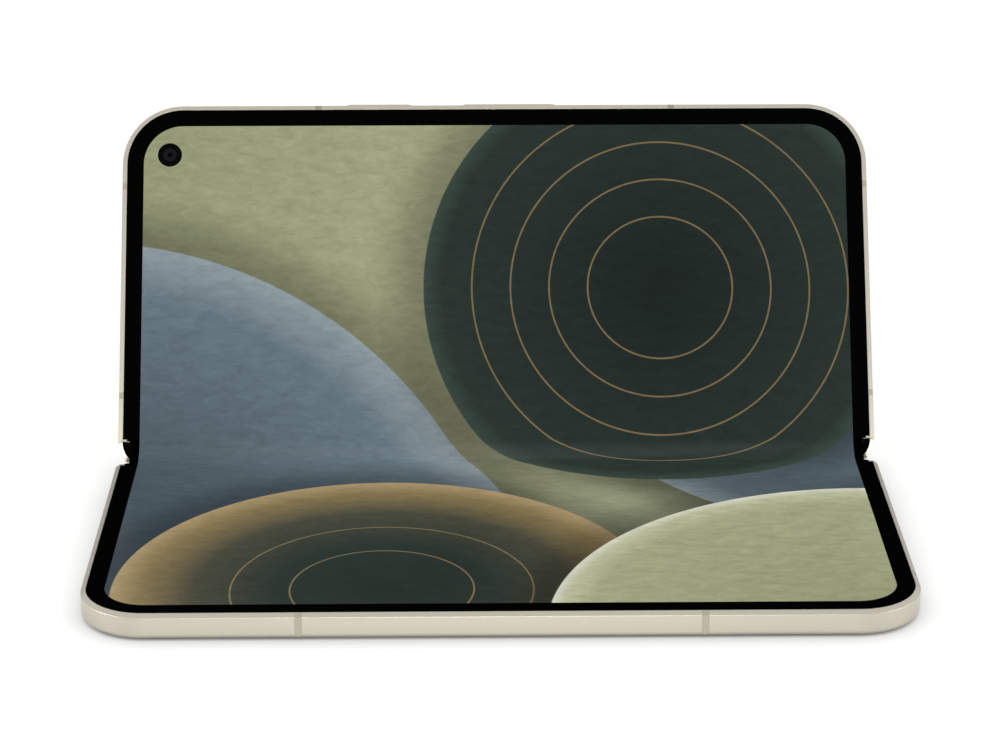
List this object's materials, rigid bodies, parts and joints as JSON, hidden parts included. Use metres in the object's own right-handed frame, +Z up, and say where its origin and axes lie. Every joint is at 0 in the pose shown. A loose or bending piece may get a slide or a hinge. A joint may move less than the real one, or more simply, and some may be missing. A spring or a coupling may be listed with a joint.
{
  "type": "foldable smartphone",
  "caption": "Book-style folding phone standing half open: flexible inner screen over a two-axis geared hinge, cover display outside, sprung keys and a sliding card tray.",
  "frame": {"origin": "middle of the base half's underside, where it rests on its cover display", "axes": "+X along the fold towards the charging port's end, +Y from the base half to the fold, +Z up"},
  "size_m": [0.1552, 0.1166, 0.0687],
  "materials": {
    "aluminium_frame": "bead-blasted, anodised champagne",
    "antenna_plastic": "moulded, matched to the frame",
    "bezel_black": "moulded black",
    "screen": "glossy flexible display",
    "cover_glass": "polished black",
    "back_glass": "frosted, painted behind",
    "lens_glass": "polished",
    "plate": "rolled sheet",
    "steel": "machined",
    "spine_metal": "anodised, darker than the frame",
    "camera_black": "moulded black",
    "board": "solder-masked circuit board",
    "battery": "foil pouch, wrapped black",
    "copper": "wound copper",
    "magnet": "nickel plated",
    "flash_lens": "clear lens over yellow diode"
  },
  "bodies": {
    "base": {"base_frame": "aluminium_frame", "base_antenna_breaks": "antenna_plastic", "base_screen_bezel": "bezel_black", "base_screen_panel": "screen", "base_support_plate": "plate", "cover_display_glass": "cover_glass", "cover_display_panel": "camera_black", "cover_camera": "camera_black", "earpiece_speaker": "camera_black", "base_battery": "battery", "base_board": "board", "vibration_motor": "steel", "base_magnets": "magnet", "base_hinge_arms": "steel", "base_arm_screws": "steel", "base_gear_shafts": "steel", "base_hinge_guards": "bezel_black"},
    "spine": {"spine_cover": "spine_metal", "spine_end_caps": "bezel_black", "hinge_brackets": "steel", "bracket_screws": "steel", "fold_support_strip": "steel", "friction_clips": "steel", "display_fold": "screen"},
    "base_idler": {"base_idler_gears": "steel"},
    "lid_idler": {"lid_idler_gears": "steel"},
    "lid": {"lid_frame": "aluminium_frame", "lid_antenna_breaks": "antenna_plastic", "lid_screen_bezel": "bezel_black", "lid_screen_panel": "screen", "lid_support_plate": "plate", "back_cover": "back_glass", "camera_island": "aluminium_frame", "rear_camera_windows": "lens_glass", "camera_flash": "flash_lens", "rear_cameras": "camera_black", "inner_camera": "camera_black", "inner_camera_lens": "lens_glass", "inner_camera_window": "cover_glass", "key_switches": "camera_black", "sim_reader": "steel", "usb_port": "steel", "charging_coil": "copper", "lid_battery": "battery", "main_board": "board", "loudspeaker": "camera_black", "lid_magnets": "magnet", "lid_hinge_arms": "steel", "lid_arm_screws": "steel", "lid_gear_shafts": "steel", "lid_hinge_guards": "bezel_black"},
    "power_key": {"power_button": "aluminium_frame"},
    "volume_key": {"volume_rocker": "aluminium_frame"},
    "tray": {"sim_tray": "aluminium_frame"}
  },
  "joints": [
    {"name": "fold", "type": "hinge", "parent": "base", "child": "spine", "pos_m": [0, 0.03545, 0.00325], "axis": [1, 0, 0], "range_deg": [-29.5, 60.5], "deforming": ["display_fold"]},
    {"name": "lid_fold", "type": "hinge", "parent": "spine", "child": "lid", "pos_m": [0, 0.03919, 0.00537], "axis": [1, 0, 0], "range_deg": [-29.5, 60.5], "deforming": ["display_fold"]},
    {"name": "base_idler_spin", "type": "hinge", "parent": "spine", "child": "base_idler", "pos_m": [0, 0.0367, 0.00396], "axis": [1, 0, 0], "range_deg": [-29.5, 60.5]},
    {"name": "lid_idler_spin", "type": "hinge", "parent": "spine", "child": "lid_idler", "pos_m": [0, 0.03795, 0.00466], "axis": [1, 0, 0], "range_deg": [-60.5, 29.5]},
    {"name": "power_press", "type": "slide", "parent": "lid", "child": "power_key", "axis": [0, -0.515, -0.8572], "range_m": [0, 0.0003], "stiffness_N_per_m": 5000},
    {"name": "volume_rock", "type": "hinge", "parent": "lid", "child": "volume_key", "pos_m": [0.00295, 0.07663, 0.06611], "axis": [0, -0.8572, 0.515], "range_deg": [-1.5, 1.5], "stiffness_Nm_per_rad": 0.5},
    {"name": "tray_slide", "type": "slide", "parent": "lid", "child": "tray", "axis": [-1, 0, 0], "range_m": [0, 0.022]}
  ],
  "couplings": [
    {"joint": "lid_fold", "follows": "fold", "ratio": 1},
    {"joint": "base_idler_spin", "follows": "fold", "ratio": 1},
    {"joint": "lid_idler_spin", "follows": "fold", "ratio": -1}
  ]
}
